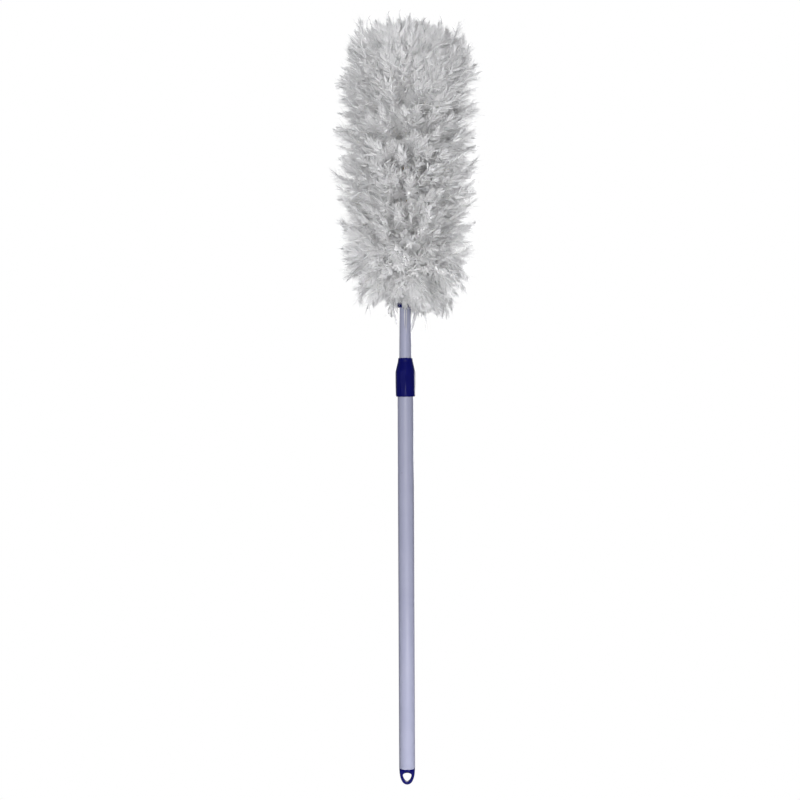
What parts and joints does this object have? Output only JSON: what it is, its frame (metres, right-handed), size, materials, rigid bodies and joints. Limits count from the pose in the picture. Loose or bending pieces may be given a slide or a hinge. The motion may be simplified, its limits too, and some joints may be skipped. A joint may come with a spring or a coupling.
{
  "type": "feather duster",
  "caption": "Long-reach duster: a barrel of white feathers in tiers on a telescopic twist-lock pole, with a hanging eye in its end cap.",
  "frame": {"origin": "on the pole's axis, in the middle of the hand grip on the outer tube, 190 mm above the tip of the hanging cap", "axes": "+Z along the pole, towards the feather head; -Y is the front, which looks through the hanging eye; +X is to the right seen from the front"},
  "size_m": [0.2336, 0.2336, 1.1928],
  "materials": {
    "tube_paint": "satin",
    "navy_plastic": "satin",
    "black_plastic": "satin",
    "white_plastic": "satin",
    "core_wood": "matte",
    "tie_wire": "satin",
    "feather": "matte"
  },
  "bodies": {
    "outer_pole": {"outer_tube": "tube_paint", "hanging_cap": "navy_plastic", "threaded_sleeve": "black_plastic"},
    "clamp_ring": {"clamp_ring": "white_plastic"},
    "collar": {"twist_collar": "navy_plastic"},
    "glide_bush": {"glide_bush": "white_plastic"},
    "inner_pole": {"inner_tube": "tube_paint", "inner_end_plug": "black_plastic", "head_ferrule": "navy_plastic", "core_rod": "core_wood", "core_button": "navy_plastic", "feather_tier_01": "feather", "feather_tier_02": "feather", "feather_tier_03": "feather", "feather_tier_04": "feather", "feather_tier_05": "feather", "feather_tier_06": "feather", "feather_tier_07": "feather", "feather_tier_08": "feather", "feather_tier_09": "feather", "feather_tier_10": "feather", "tie_01": "tie_wire", "tie_02": "tie_wire", "tie_03": "tie_wire", "tie_04": "tie_wire", "tie_05": "tie_wire", "tie_06": "tie_wire", "tie_07": "tie_wire", "tie_08": "tie_wire", "tie_09": "tie_wire", "tie_10": "tie_wire"}
  },
  "joints": [
    {"name": "collar_lift", "type": "slide", "parent": "outer_pole", "child": "clamp_ring", "axis": [0, 0, 1], "range_m": [0, 0.002]},
    {"name": "collar_twist", "type": "hinge", "parent": "clamp_ring", "child": "collar", "pos_m": [0, 0, 0.447], "axis": [0, 0, 1], "range_deg": [0, 180]},
    {"name": "pole_extend", "type": "slide", "parent": "outer_pole", "child": "glide_bush", "axis": [0, 0, 1], "range_m": [0, 0.523]},
    {"name": "pole_turn", "type": "hinge", "parent": "glide_bush", "child": "inner_pole", "pos_m": [0, 0, -0.129], "axis": [0, 0, 1], "continuous": true}
  ],
  "couplings": [
    {"joint": "collar_lift", "follows": "collar_twist", "m_per_rad": 0.0006366}
  ]
}
